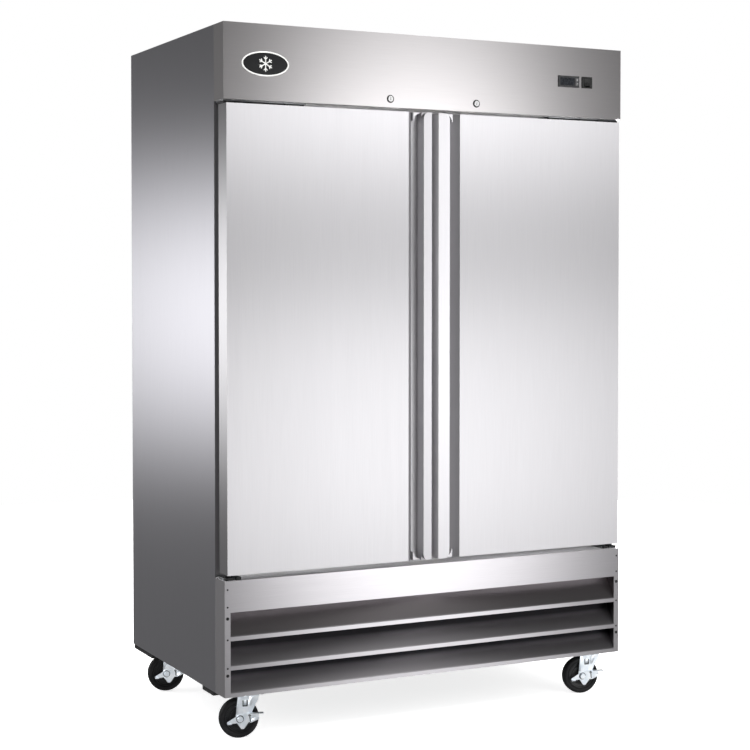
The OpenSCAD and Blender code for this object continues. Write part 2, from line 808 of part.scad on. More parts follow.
module shelf_standards() {
    wall_x = [liner_x - liner_t - 8.2, liner_x - liner_t - 0.2];
    color("silver")
        both_sides()
            for (d = [shelf_front_d + 30, shelf_back_d - 50]) {
                standard(wall_x, [d, d + 20]);
                shelf_clips([wall_x[0] - 16, wall_x[0] - 0.1], [d + 2, d + 18]);
                standard([6, 14], [d, d + 20]);
                shelf_clips([14.1, 32], [d + 2, d + 18]);
            }
}

// One wire shelf: a frame of rods with front-to-back wires across two stiffeners
module wire_shelf(z) {
    rod = 6;
    inner_x = [shelf_x[0] + rod, shelf_x[1] - rod];
    wires = 13;
    pitch = (inner_x[1] - inner_x[0]) / (wires + 1);
    depth = [shelf_front_d, shelf_back_d];
    difference() {
        slab(shelf_x, depth, [z - 4, z + 2]);
        slab(inner_x, [depth[0] + rod, depth[1] - rod], [z - 5, z + 3]);
    }
    for (d = [depth[0] + 180, depth[1] - 180])
        slab([inner_x[0] - 1, inner_x[1] + 1], [d, d + rod], [z - 4, z]);
    for (i = [1:wires])
        slab([inner_x[0] + i * pitch - 1.5, inner_x[0] + i * pitch + 1.5],
            [depth[0] + 1, depth[1] - 1], [z - 1, z + 1.5]);
}

module wire_shelves()
    color("whitesmoke")
        both_sides()
            for (z = shelf_zs)
                union() wire_shelf(z);

// ---------- casters ----------

// The children drawn for one swivel at the origin, put in place and turned
module at_caster(caster)
    translate([caster[1] * caster_x, face_y + (caster[2] == 0 ? caster_front_d : caster_rear_d), 0])
        rotate([0, 0, caster_turn])
            children();

// Mounting plates with the fixed half of the swivel bearing and the rivet
module caster_plates()
    color("lightsteelblue")
        for (caster = CASTERS)
            translate([caster[1] * caster_x,
                face_y + (caster[2] == 0 ? caster_front_d : caster_rear_d), 0])
                union() {
                    translate([-plate_half[0], -plate_half[1], plate_z[0]])
                        cube([2 * plate_half[0], 2 * plate_half[1], plate_z[1] - plate_z[0]]);
                    translate([0, 0, race_z[0]])
                        cylinder(h = race_z[1] - race_z[0] + 1, r = 25);
                    translate([0, 0, crown_z[0] - 1])
                        cylinder(h = plate_z[0] - crown_z[0] + 2, r = rivet_r);
                    translate([0, 0, crown_z[0] - 3]) cylinder(h = 2.6, r = 12);
                }

// Outline of a fork leg, x along the rolling direction and y up
module leg_outline() {
    polygon([[crown_x[1], crown_z[1]], [crown_x[0], crown_z[1]], [-trail - 12.5, wheel_r + 6],
        [-trail - 10, wheel_r - 10], [-trail + 4, wheel_r - 30], [-trail + 12, wheel_r - 30],
        [-trail + 26, wheel_r - 12], [12, wheel_r + 14], [crown_x[1] - 12, wheel_r + 40],
        [crown_x[1] - 3, crown_z[0] - 12]]);
    translate([-trail, wheel_r]) circle(13);
}

module caster_fork()
    color("lightsteelblue")
        union() {
            difference() {
                union() {
                    translate([0, 0, crown_z[0]])
                        cylinder(h = crown_z[1] - crown_z[0], r = 27);
                    translate([crown_x[0], -leg_y[1], crown_z[0]])
                        cube([crown_x[1] - crown_x[0], 2 * leg_y[1], crown_z[1] - crown_z[0]]);
                }
                translate([0, 0, crown_z[0] - 1])
                    cylinder(h = crown_z[1] - crown_z[0] + 2, r = rivet_r + fit);
            }
            for (y = [leg_y[1], -leg_y[0]])
                translate([0, y, 0])
                    rotate([90, 0, 0])
                        linear_extrude(leg_y[1] - leg_y[0]) leg_outline();
            translate([-trail, leg_y[1] + 6, wheel_r])
                rotate([90, 0, 0]) cylinder(h = 2 * leg_y[1] + 14, r = axle_r);
            for (y = [leg_y[1] + 6, lever_y[0] - 0.5])
                translate([-trail, y, wheel_r])
                    rotate([90, 0, 0]) cylinder(h = 6, r = 9, $fn = 6);
        }

// Solid tyre with a dished hub, bored for the axle
module caster_wheel()
    color("#202022")
        translate([-trail, 0, wheel_r])
            rotate([90, 0, 0])
                rotate_extrude($fn = 96)
                    difference() {
                        union() {
                            translate([wheel_r - 6, 6 - tread_w / 2]) circle(6);
                            translate([wheel_r - 6, tread_w / 2 - 6]) circle(6);
                            translate([wheel_r - 6, 6 - tread_w / 2]) square([6, tread_w - 12]);
                            translate([wheel_r - 16, -tread_w / 2]) square([10, tread_w]);
                            translate([15, -9]) square([wheel_r - 28, 18]);
                            translate([axle_r + fit, -hub_w / 2]) square([13, hub_w]);
                        }
                        translate([-20, -30]) square([20 + axle_r + fit, 60]);
                    }

// Side brake: a toe tab and a pedal on one plate that turns on the axle
module brake_lever()
    color("lightsteelblue")
        translate([-trail, 0, wheel_r])
            difference() {
                union() {
                    translate([0, lever_y[1], 0])
                        rotate([90, 0, 0])
                            linear_extrude(lever_y[1] - lever_y[0]) {
                                circle(12);
                                polygon([[-38, -13], [-38, -7], [-8, 10], [-4, -11]]);
                                polygon([[0, 11], [10, -8], [34, -12], [58, -2], [56, 10],
                                    [44, 18], [26, 18]]);
                            }
                    translate([26, lever_y[0] - 14, 15.5]) cube([42, 14.5, 2.5]);
                    translate([-38, lever_y[0] - 8, -13]) cube([12, 8.5, 2.5]);
                }
                translate([0, lever_y[1] + 1, 0])
                    rotate([90, 0, 0]) cylinder(h = 10, r = axle_r + fit);
            }

// ---------- one line for each node ----------

side_panel(-1);  // side_panel_left
side_panel(1);  // side_panel_right
rear_panel();
top_panel();
floor_pan();
insulation();
inner_liner();
face_frame();
header_panel();
base_grille();
base_pan();
base_rails();
badge();
door_skin(-1);  // door_skin_left
door_handle(-1);  // door_handle_left
door_insulation(-1);  // door_insulation_left
door_liner(-1);  // door_liner_left
door_gasket(-1);  // door_gasket_left
door_skin(1);  // door_skin_right
door_handle(1);  // door_handle_right
door_insulation(1);  // door_insulation_right
door_liner(1);  // door_liner_right
door_gasket(1);  // door_gasket_right
hinge_brackets();
lock_rings();
lock_cylinder(-1);  // lock_cylinder_left
lock_cylinder(1);  // lock_cylinder_right
controller_bezel();
controller_display();
controller_button(button_zs[0]);  // controller_button_up
controller_button(button_zs[1]);  // controller_button_down
switch_bezel();
switch_rocker();
compressor();
condenser_coil();
condenser_shroud();
condenser_fan();
refrigerant_lines();
condensate_pan();
power_inlet();
evaporator_housing();
evaporator_coil();
evaporator_motors();
evaporator_fan(-1);  // evaporator_fan_left
evaporator_fan(1);  // evaporator_fan_right
shelf_standards();
wire_shelves();
caster_plates();
at_caster(CASTERS[0]) caster_fork();  // caster_fork_front_left
at_caster(CASTERS[0]) caster_wheel();  // caster_wheel_front_left
at_caster(CASTERS[0]) brake_lever();  // brake_lever_front_left
at_caster(CASTERS[1]) caster_fork();  // caster_fork_front_right
at_caster(CASTERS[1]) caster_wheel();  // caster_wheel_front_right
at_caster(CASTERS[1]) brake_lever();  // brake_lever_front_right
at_caster(CASTERS[2]) caster_fork();  // caster_fork_rear_left
at_caster(CASTERS[2]) caster_wheel();  // caster_wheel_rear_left
at_caster(CASTERS[2]) brake_lever();  // brake_lever_rear_left
at_caster(CASTERS[3]) caster_fork();  // caster_fork_rear_right
at_caster(CASTERS[3]) caster_wheel();  // caster_wheel_rear_right
at_caster(CASTERS[3]) brake_lever();  // brake_lever_rear_right
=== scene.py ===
"""Looks of a two-door reach-in refrigerator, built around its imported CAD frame. Metres, +Z up."""
import json
import math

import bmesh
import bpy
from mathutils import Matrix, Vector


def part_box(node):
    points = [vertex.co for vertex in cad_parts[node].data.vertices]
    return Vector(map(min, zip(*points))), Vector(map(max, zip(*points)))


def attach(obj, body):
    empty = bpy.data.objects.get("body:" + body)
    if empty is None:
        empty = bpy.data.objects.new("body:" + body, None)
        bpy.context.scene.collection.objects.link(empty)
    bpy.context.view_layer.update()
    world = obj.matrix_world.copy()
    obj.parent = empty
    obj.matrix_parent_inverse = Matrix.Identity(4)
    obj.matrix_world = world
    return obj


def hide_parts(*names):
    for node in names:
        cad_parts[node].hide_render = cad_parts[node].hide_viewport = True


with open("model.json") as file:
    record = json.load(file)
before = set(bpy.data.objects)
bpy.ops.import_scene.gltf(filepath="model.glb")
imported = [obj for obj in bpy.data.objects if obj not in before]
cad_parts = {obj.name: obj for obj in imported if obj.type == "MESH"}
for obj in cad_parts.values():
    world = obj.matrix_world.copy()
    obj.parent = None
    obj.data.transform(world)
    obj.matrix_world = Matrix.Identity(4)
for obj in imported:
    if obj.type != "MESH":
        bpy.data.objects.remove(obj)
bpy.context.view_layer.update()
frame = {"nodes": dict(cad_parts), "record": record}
NODES = frame["nodes"]

CASTERS = ("front_left", "front_right", "rear_left", "rear_right")
SIDES = {"left": -1, "right": 1}
JOINTS = {joint["name"]: joint for joint in frame["record"]["behaviour"]["joints"]}

RIGHT = Vector((1, 0, 0))
UP = Vector((0, 0, 1))
BACK = Vector((0, 1, 0))
FORWARD = Vector((0, -1, 0))

HEADER_LOW, HEADER_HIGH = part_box("header_panel")
FACE_Y = HEADER_LOW.y                    # plane of the header's face
HALF_WIDTH = HEADER_HIGH.x
BASE_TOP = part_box("base_grille")[1].z
BAND_FOOT = BASE_TOP - 0.092             # lower edge of the plain band above the louvres
TOP_LIP = BASE_TOP - 0.166               # middle of the first louvre's lip
LAMP_AIM = (0, FACE_Y, 1.2)              # what the handles' and the gaps' lamps point at

WHITE = (1, 1, 1, 1)
BLACK = (0, 0, 0, 1)
GRAIN_STRETCH = 0.012                    # scale of a brushed texture along its grain


# ---------- camera, light and floor ----------

def make_camera():
    """Stands off the front left corner at chest height, with a long lens that looks a little down."""
    down, right = math.radians(1.62), math.radians(26.72)
    data = bpy.data.cameras.new("camera")
    data.lens = 80.05
    data.sensor_width = 36
    data.shift_y = -0.06
    camera = bpy.data.objects.new("camera", data)
    camera.location = (-2.450, FACE_Y - 4.468, 1.335)
    camera.rotation_euler = (math.radians(90) - down, 0, -right)
    bpy.context.scene.collection.objects.link(camera)
    bpy.context.scene.camera = camera


def fade_to_edges(data):
    """Makes a lamp brightest at its middle and dark at its edges, like a diffused softbox.

    The strength is a power of 16 x(1 - x) y(1 - y), which is 1 at the middle.
    """
    data.use_nodes = True
    tree = data.node_tree
    across = node(tree, "NewGeometry").outputs["Parametric"]
    rest = node(tree, "VectorMath", {0: (1, 1, 0), 1: across}, operation="SUBTRACT").outputs[0]
    dome = node(tree, "VectorMath", {0: across, 1: rest}, operation="MULTIPLY").outputs[0]
    axes = node(tree, "SeparateXYZ", {0: dome}).outputs
    product = compute(tree, "MULTIPLY", axes["X"], axes["Y"])
    full_at_middle = compute(tree, "MULTIPLY", product, 16.0)
    soft = compute(tree, "POWER", full_at_middle, 1.5)
    connect(tree, tree.nodes["Emission"].inputs["Strength"], soft)


def make_light(name, place, aim, size, power, glossy=True):
    """A soft rectangular lamp that the camera doesn't see."""
    data = bpy.data.lights.new(name, "AREA")
    data.shape = "RECTANGLE"
    data.size, data.size_y = size
    data.energy = power
    if glossy:
        fade_to_edges(data)
    lamp = bpy.data.objects.new(name, data)
    lamp.location = place
    lamp.rotation_euler = (Vector(aim) - Vector(place)).to_track_quat("-Z", "Y").to_euler()
    lamp.visible_camera = False
    lamp.visible_glossy = glossy
    bpy.context.scene.collection.objects.link(lamp)
    return lamp


def link_light(lamp, names, state):
    """Lights only these CAD nodes and pieces (INCLUDE), or everything but them (EXCLUDE)."""
    linked = bpy.data.collections.new(lamp.name + "_linking")
    for name in names:
        linked.objects.link(NODES[name] if name in NODES else bpy.data.objects[name])
    for entry in linked.collection_objects:
        entry.light_linking.link_state = state
    lamp.light_linking.receiver_collection = linked


def make_gap_glow():
    """Light in the narrow gaps round the doors, where a white room's many reflections would end.

    It stands behind the object. The header, the face frame and the base alone receive it, and
    only the floor blocks it.
    """
    lamp = make_light("gap_glow", (2.4, 4.0, 1.2), LAMP_AIM, (4.2, 1.8), 850)
    link_light(lamp, ("header_panel", "face_frame", "base_grille"), "INCLUDE")
    blockers = bpy.data.collections.new("gap_glow_blockers")
    blockers.objects.link(bpy.data.objects["studio_floor"])
    lamp.light_linking.blocker_collection = blockers


def make_front_bank(name, y, lamps, names, state):
    """Lamps in front of the object, one above the other. Each is (x, width, power), from the top down.

    They overlap, so each stands a little further forward than the one above it, and no two share
    a plane.
    """
    top, height, spacing, forward = 2.35, 1.4, 0.8, 0.06
    for index, (x, width, power) in enumerate(lamps):
        z = top - index * spacing
        spot = (x, y - index * forward, z)
        lamp = make_light(f"{name}_{index}", spot, (x, FACE_Y, z), (width, height), power)
        link_light(lamp, names, state)


def make_door_and_front_lamps():
    """One bank for the doors' steel, and another for everything but that."""
    door_steel = [kind + side for kind in ("door_skin_", "door_handle_") for side in SIDES]
    front_lamps = ((1.28, 1.8, 7.8), (1.28, 1.8, 36), (1.36, 2.3, 22.5), (1.36, 2.3, 26))
    door_lamps = [(1.0, 2.5, power) for power in (51, 20, 42, 35)]
    make_front_bank("front", -2.85, front_lamps, door_steel, "EXCLUDE")
    make_front_bank("door", -2.82, door_lamps, door_steel, "INCLUDE")


def make_handle_fills():
    """Tall lamps, each for the folds of one handle."""
    for name, side, spot, power in (("grip_left_fill", "left", (2.9, -1.9, 1.2), 100),
                                    ("grip_right_fill", "right", (-0.45, -3.4, 1.2), 112),
                                    ("grip_edge_fill", "right", (-2.9, -2.1, 1.2), 60)):
        fill = make_light(name, spot, LAMP_AIM, (1.2, 4.4), power)
        link_light(fill, ("door_handle_" + side,), "INCLUDE")


def make_caster_fills():
    """Low lamps for the casters' zinc-plated parts."""
    kinds = ("caster_fork_", "brake_lever_", "fork_pressings_", "lever_pressings_")
    forks = [kind + name for kind in kinds for name in CASTERS]
    for name, spot, power in (("caster_left_fill", (-2.4, -2.6, 0.5), 250),
                              ("caster_right_fill", (1.9, -3.4, 0.5), 60)):
        fill = make_light(name, spot, (0, FACE_Y + 0.2, 0.1), (2.4, 1.0), power)
        link_light(fill, forks, "INCLUDE")


def make_lights():
    make_light("overhead", (0, -0.5, 5.2), (0, -0.5, 0), (7, 7), 520, glossy=False)
    make_door_and_front_lamps()
    make_handle_fills()
    make_caster_fills()
    make_light("left_strip", (-2.8, 1.5, 1.2), (-0.7, 0, 1.2), (2.0, 1.75), 61)
    make_light("right_soft", (3.4, 0.6, 1.5), (0.6, 0, 1.2), (2.6, 2.8), 60)
    make_light("rear_soft", (0.8, 4.2, 1.5), (0.2, 0.4, 1.2), (2.8, 2.6), 60)
    make_gap_glow()


def make_world():
    """White behind the object, a bright dome for diffuse surfaces and a dim room for metals."""
    world = bpy.data.worlds.new("studio")
    world.use_nodes = True
    bpy.context.scene.world = world
    tree = world.node_tree
    path = node(tree, "LightPath").outputs
    direction = node(tree, "TexCoord").outputs["Generated"]
    height = node(tree, "SeparateXYZ", {"Vector": direction}).outputs["Z"]
    dome = spread(tree, height, 0.35, 1.0, -0.1, 0.7)
    room = spread(tree, height, 0.165, 0.095, -0.3, 0.5)
    seen = mix_values(tree, path["Is Glossy Ray"], dome, room)
    strength = mix_values(tree, path["Is Camera Ray"], seen, 1.0)
    background = tree.nodes["Background"]
    connect(tree, background.inputs["Color"], WHITE)
    connect(tree, background.inputs["Strength"], strength)


def make_floor():
    """Round pale floor that doesn't show in glossy reflections."""
    bm = bmesh.new()
    bmesh.ops.create_circle(bm, cap_ends=True, radius=5, segments=96)
    mesh = bpy.data.meshes.new("studio_floor")
    bm.to_mesh(mesh)
    bm.free()
    floor = bpy.data.objects.new("studio_floor", mesh)
    bpy.context.scene.collection.objects.link(floor)
    mesh.materials.append(floor_material())
    floor.visible_glossy = False


# ---------- shader nodes ----------

def connect(tree, socket, value):
    """Links a node's output to a socket, or sets the socket to a plain value."""
    if isinstance(value, bpy.types.NodeSocket):
        tree.links.new(value, socket)
    else:
        socket.default_value = value


def node(tree, kind, sockets=None, **settings):
    """A new shader node of a kind, with its input sockets and its settings."""
    made = tree.nodes.new("ShaderNode" + kind)
    for key, value in settings.items():
        setattr(made, key, value)
    for key, value in (sockets or {}).items():
        connect(tree, made.inputs[key], value)
    return made


def spread(tree, value, low, high, start=0.3, end=0.7):
    """Maps start..end onto low..high."""
    sockets = {"Value": value, "From Min": start, "From Max": end, "To Min": low, "To Max": high}
    return node(tree, "MapRange", sockets).outputs["Result"]


def compute(tree, operation, *values):
    """Output of a Math node on one or two values."""
    return node(tree, "Math", dict(enumerate(values)), operation=operation).outputs[0]


def mix_values(tree, factor, first, second):
    """A Mix node's sockets repeat their names, so this and mix_colours take them by index."""
    return node(tree, "Mix", {0: factor, 2: first, 3: second}, data_type="FLOAT").outputs[0]


def mix_colours(tree, factor, first, second):
    return node(tree, "Mix", {0: factor, 6: first, 7: second}, data_type="RGBA").outputs[2]


def stretched_place(tree, stretch):
    """Object coordinates, scaled along each axis."""
    where = node(tree, "TexCoord").outputs["Object"]
    return node(tree, "Mapping", {"Vector": where, "Scale": stretch}).outputs["Vector"]


def noise(tree, scale, detail=2.0, stretch=(1, 1, 1)):
    sockets = {"Vector": stretched_place(tree, stretch), "Scale": scale, "Detail": detail}
    return node(tree, "TexNoise", sockets).outputs["Fac"]


def cells(tree, scale):
    sockets = {"Vector": stretched_place(tree, (1, 1, 1)), "Scale": scale}
    return node(tree, "TexVoronoi", sockets)


def bump(tree, height, distance, strength):
    sockets = {"Height": height, "Distance": distance, "Strength": strength}
    return node(tree, "Bump", sockets).outputs["Normal"]


def level_tangent(tree):
    """Level tangent round the vertical axis, from which a steel's anisotropy is turned."""
    return node(tree, "Tangent", direction_type="RADIAL", axis="Z").outputs["Tangent"]


def opaque(colour, factor=1):
    """A colour made darker or lighter by a factor, with its alpha."""
    return (*[part * factor for part in colour], 1)


def new_material(name, **values):
    """A material whose Principled shader has these values; returns it with its tree and shader."""
    material = bpy.data.materials.new(name)
    material.use_nodes = True
    tree = material.node_tree
    shader = tree.nodes["Principled BSDF"]
    shade(tree, shader, **values)
    return material, tree, shader


def shade(tree, shader, **values):
    """Sets or links a shader's sockets: specular_ior_level is the one called Specular IOR Level."""
    for key, value in values.items():
        connect(tree, shader.inputs[key.replace("_", " ").title().replace("Ior", "IOR")], value)


# ---------- materials ----------

def floor_material():
    """Matt white that glows a little, so that the floor meets the white behind it."""
    material, tree, shader = new_material("floor_white", roughness=0.8, specular_ior_level=0.1,
                                          emission_color=WHITE, emission_strength=0.72)
    tone = spread(tree, noise(tree, 3.0), 0.86, 0.90)
    shade(tree, shader, base_color=mix_colours(tree, tone, BLACK, WHITE))
    return material


def brushed_steel(name, grain, tone=0.64, roughness=0.38, anisotropic=0.86, cast=(1.015, 1, 1.03)):
    """Stainless sheet. grain is the axis along which it was brushed, x or z, and cast its tint."""
    stretch = (1, 1, GRAIN_STRETCH) if grain == "z" else (GRAIN_STRETCH, 1, 1)
    turn = 0.0 if grain == "z" else 0.25
    material, tree, shader = new_material(
        name, metallic=1.0, anisotropic=anisotropic, anisotropic_rotation=turn)
    lines = noise(tree, 700, 3, stretch)
    streaks = noise(tree, 90, 2, stretch)
    clouds = noise(tree, 1.7, 2)
    light, smudged, dark = [opaque(cast, tone * level) for level in (1, 0.985, 0.95)]
    tint = mix_colours(tree, spread(tree, lines, 0, 1), dark, light)
    smudge = mix_colours(tree, spread(tree, clouds, 0, 0.35), tint, smudged)
    rough = spread(tree, streaks, roughness - 0.006, roughness + 0.006)
    shade(tree, shader, base_color=smudge, roughness=rough,
          normal=bump(tree, lines, 0.0000015, 0.3), tangent=level_tangent(tree))
    return material


def louvre_steel(name):
    """Level-grained steel with shade painted into the louvres, darkest deep under a louvre's lip."""
    material, tree, shader = new_material(name, metallic=1.0, anisotropic=0.6,
                                          anisotropic_rotation=0.25)
    along = (GRAIN_STRETCH, 1, 1)
    where = node(tree, "TexCoord").outputs["Object"]
    axes = node(tree, "SeparateXYZ", {"Vector": where}).outputs

    upright_edge = HALF_WIDTH - 0.018
    off_centre = compute(tree, "ABSOLUTE", axes["X"])
    # Masks for where shade is painted: behind the face, below the plain band and between the uprights.
    behind_face = spread(tree, axes["Y"], 0, 1, FACE_Y + 0.0012, FACE_Y + 0.0025)
    below_band = spread(tree, axes["Z"], 1, 0, BAND_FOOT - 0.002, BAND_FOOT - 0.001)
    between_uprights = spread(tree, off_centre, 1, 0, upright_edge, upright_edge + 0.001)
    recessed = compute(tree, "MULTIPLY", behind_face, below_band)
    dust_and_painted_shade = compute(tree, "MULTIPLY", recessed, between_uprights)

    # Painted shade by depth behind the face: nearly even on the top louvre, going dark deep under the
    # lips of the lower ones.
    top_depth, lower_depth = 0.045, 0.034
    top_row = mix_colours(tree, spread(tree, axes["Y"], 0, 1, FACE_Y, FACE_Y + top_depth),
                          (0.34, 0.315, 0.325, 1), (0.38, 0.35, 0.36, 1))
    lower_rows = mix_colours(tree, spread(tree, axes["Y"], 0, 1, FACE_Y, FACE_Y + lower_depth),
                             (0.44, 0.42, 0.44, 1), (0.04, 0.04, 0.044, 1))
    under_top_lip = spread(tree, axes["Z"], 1, 0, TOP_LIP, TOP_LIP + 0.001)
    painted_shade_colour = mix_colours(tree, under_top_lip, top_row, lower_rows)

    lines = noise(tree, 700, 3, along)
    unshaded_steel = mix_colours(tree, spread(tree, lines, 0, 1),
                        (0.623, 0.605, 0.63, 1), (0.663, 0.645, 0.67, 1))
    shade(tree, shader, base_color=mix_colours(tree, dust_and_painted_shade, unshaded_steel, painted_shade_colour),
          roughness=spread(tree, noise(tree, 90, 2, along), 0.29, 0.31),
          normal=bump(tree, lines, 0.0000015, 0.3), tangent=level_tangent(tree))
    return material


def galvanised_steel(name, tone=0.55):
    """Zinc-coated sheet with its faint crystal spangle."""
    material, tree, shader = new_material(name, metallic=1.0)
    spangle = cells(tree, 70).outputs["Color"]
    facet = node(tree, "SeparateXYZ", {"Vector": spangle}).outputs["X"]
    tint = mix_colours(tree, facet, opaque((0.88, 0.91, 0.93), tone), opaque((1.06, 1.08, 1.1), tone))
    shade(tree, shader, base_color=tint, roughness=spread(tree, facet, 0.34, 0.48, 0, 1),
          normal=bump(tree, noise(tree, 220, 3), 0.0001, 0.4))
    return material


def plated_zinc(name):
    """Bright zinc plating on pressed steel: bluish, with faint rub marks."""
    material, tree, shader = new_material(name, metallic=1.0)
    clouds = noise(tree, 60, 3)
    tint = mix_colours(tree, spread(tree, clouds, 0, 1), (0.70, 0.76, 0.82, 1), (0.88, 0.91, 0.94, 1))
    shade(tree, shader, base_color=tint, roughness=spread(tree, noise(tree, 320, 2), 0.36, 0.50),
          normal=bump(tree, clouds, 0.0003, 0.5))
    return material


def polished_metal(name, colour, roughness=0.12):
    """Smooth bright metal whose tint and polish vary finely."""
    material, tree, shader = new_material(name, metallic=1.0)
    wear = noise(tree, 500, 3)
    tint = mix_colours(tree, spread(tree, wear, 0, 1), opaque(colour, 0.86), opaque(colour))
    shade(tree, shader, base_color=tint, roughness=spread(tree, wear, roughness, roughness + 0.12),
          normal=bump(tree, wear, 0.00003, 0.5))
    return material


def powder_coat(name, colour, roughness=0.42):
    """Sprayed paint with a fine orange peel."""
    material, tree, shader = new_material(name, specular_ior_level=0.45)
    peel = noise(tree, 900, 2)
    tint = mix_colours(tree, spread(tree, noise(tree, 25, 3), 0, 1),
                       opaque(colour, 0.8), opaque(colour, 1.2))
    shade(tree, shader, base_color=tint, roughness=spread(tree, peel, roughness, roughness + 0.14),
          normal=bump(tree, peel, 0.00012, 0.7))
    return material


def moulded_plastic(name, colour, roughness=0.4, grain=1400):
    """Injection-moulded plastic with a spark-eroded texture."""
    material, tree, shader = new_material(name, specular_ior_level=0.5)
    texture = noise(tree, grain, 1)
    tint = mix_colours(tree, spread(tree, noise(tree, 40, 2), 0, 1),
                       opaque(colour, 0.9), opaque(colour, 1.1))
    shade(tree, shader, base_color=tint, roughness=spread(tree, texture, roughness, roughness + 0.1),
          normal=bump(tree, texture, 0.00008, 0.5))
    return material


def rubber(name, colour, dust_and_painted_shade=0.0):
    """Black rubber, paler by dust in patches."""
    material, tree, shader = new_material(name, specular_ior_level=0.35)
    texture = noise(tree, 800, 3)
    patches = spread(tree, noise(tree, 35, 4), 0, 1, 0.42, 0.72)
    dusty = opaque([part + dust_and_painted_shade for part in colour])
    tint = mix_colours(tree, patches, opaque(colour), dusty)
    shade(tree, shader, base_color=tint, roughness=spread(tree, texture, 0.46, 0.66),
          normal=bump(tree, texture, 0.0002, 0.5))
    return material


def foam(name):
    """Cut polyurethane foam with open cells."""
    material, tree, shader = new_material(name, specular_ior_level=0.1)
    cell = cells(tree, 500).outputs["Distance"]
    tint = mix_colours(tree, spread(tree, noise(tree, 12, 3), 0, 1),
                       (0.78, 0.68, 0.42, 1), (0.88, 0.80, 0.56, 1))
    shade(tree, shader, base_color=tint, roughness=spread(tree, cell, 0.8, 0.95, 0, 1),
          normal=bump(tree, cell, 0.0006, 0.8))
    return material


def copper(name):
    """Drawn copper tube, brown and duller where it is stained."""
    material, tree, shader = new_material(name, metallic=1.0)
    stain = noise(tree, 45, 4)
    tint = mix_colours(tree, spread(tree, stain, 0, 1), (0.55, 0.25, 0.14, 1), (0.86, 0.48, 0.32, 1))
    shade(tree, shader, base_color=tint, roughness=spread(tree, stain, 0.42, 0.22),
          normal=bump(tree, noise(tree, 500, 2), 0.00005, 0.5))
    return material


def dark_lens(name):
    """Smoked acrylic in front of an unlit display."""
    material, tree, shader = new_material(name, specular_ior_level=0.3)
    haze = noise(tree, 200, 2)
    tint = mix_colours(tree, spread(tree, haze, 0, 1), (0.006, 0.007, 0.009, 1), (0.014, 0.016, 0.02, 1))
    shade(tree, shader, base_color=tint, roughness=spread(tree, haze, 0.22, 0.34))
    return material


MATERIALS = {
    "stainless": brushed_steel("stainless_upright", "z"),
    "stainless_side": brushed_steel("stainless_side", "z", cast=(1.01, 1, 1.06)),
    "stainless_level": brushed_steel("stainless_level", "x", roughness=0.30, anisotropic=0.6,
                                     cast=(1.035, 1, 1.01)),
    "handle_steel": brushed_steel("stainless_handle", "z", tone=0.70, roughness=0.5, anisotropic=0.9),
    "liner_steel": brushed_steel("liner_steel", "z", tone=0.60, roughness=0.32, anisotropic=0.5),
    "galvanised": galvanised_steel("galvanised_sheet"),
    # Galvanised sheet darkened for the hinge plates: partly their darker tone, partly painted shade from
    # the gaps they sit in.
    "hinge_steel": galvanised_steel("hinge_sheet", 0.30),
    "louvre_steel": louvre_steel("stainless_louvre"),
    "foam": foam("foam"),
    "black_paint": powder_coat("black_paint", (0.012, 0.012, 0.013)),
    "badge_black": moulded_plastic("badge_black", (0.006, 0.006, 0.007), 0.45, 300),
    "chrome": polished_metal("lock_chrome", (0.72, 0.72, 0.72)),
    "bezel_grey": moulded_plastic("bezel_grey", (0.025, 0.025, 0.027), 0.5),
    "display_dark": dark_lens("display_lens"),
    "button_grey": moulded_plastic("button_grey", (0.09, 0.09, 0.092), 0.4),
    "switch_black": moulded_plastic("switch_black", (0.012, 0.012, 0.012), 0.25),
    "coil_aluminium": polished_metal("coil_aluminium", (0.62, 0.64, 0.66), 0.3),
    "copper": copper("copper_tube"),
    "white_plastic": moulded_plastic("white_plastic", (0.72, 0.72, 0.70), 0.45),
    "motor_grey": powder_coat("motor_grey", (0.10, 0.105, 0.11)),
    "shelf_coating": powder_coat("shelf_coating", (0.66, 0.67, 0.66), 0.3),
    "zinc": plated_zinc("zinc_plate"),
    "fan_plastic": moulded_plastic("fan_plastic", (0.010, 0.0105, 0.0115), 0.35),
    "gasket_rubber": rubber("gasket_rubber", (0.012, 0.012, 0.013)),
    "wheel_rubber": rubber("wheel_rubber", (0.006, 0.006, 0.007), 0.006),
}
SPECIAL_FINISH = {
    "side_panel_left": "stainless_side",
    "side_panel_right": "stainless_side",
    "header_panel": "stainless_level",
    "base_grille": "louvre_steel",
    "face_frame": "handle_steel",
    "door_handle_left": "handle_steel",
    "door_handle_right": "handle_steel",
}


def dress_cad_nodes():
    """Gives every CAD node the material of its slot, or the special finish that it has instead."""
    for entry in frame["record"]["subparts"]:
        finish = SPECIAL_FINISH.get(entry["node"], entry["material_slot"])
        for mesh_slot in NODES[entry["node"]].material_slots:
            mesh_slot.material = MATERIALS[finish]


# ---------- mesh helpers ----------

def make_piece(name, bm, slot, body, replaces=(), crease=35, finish=None):
    """Turns a bmesh into a piece that rides on a body, in its slot's material or another finish."""
    bmesh.ops.recalc_face_normals(bm, faces=bm.faces)
    mesh = bpy.data.meshes.new(name)
    bm.to_mesh(mesh)
    bm.free()
    mesh.shade_smooth()
    mesh.set_sharp_from_angle(angle=math.radians(crease))
    mesh.materials.append(MATERIALS[finish or slot])
    piece = bpy.data.objects.new(name, mesh)
    bpy.context.scene.collection.objects.link(piece)
    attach(piece, body)
    if replaces:
        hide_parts(*replaces)
    return piece


def joint_place(name):
    return Vector(JOINTS[name]["pos_m"])


def facing(place, direction):
    """Takes a shape drawn along +Z to a place, where it points in a direction."""
    turn = Vector(direction).to_track_quat("Z", "Y").to_matrix().to_4x4()
    return Matrix.Translation(place) @ turn


def oval(width, height, level, segments=72):
    """Points on an oval at a level on the Z axis, from its half width and half height."""
    angles = (2 * math.pi * index / segments for index in range(segments))
    return [Vector((width * math.cos(a), height * math.sin(a), level)) for a in angles]


def ring_points(radius, level, segments):
    return oval(radius, radius, level, segments)


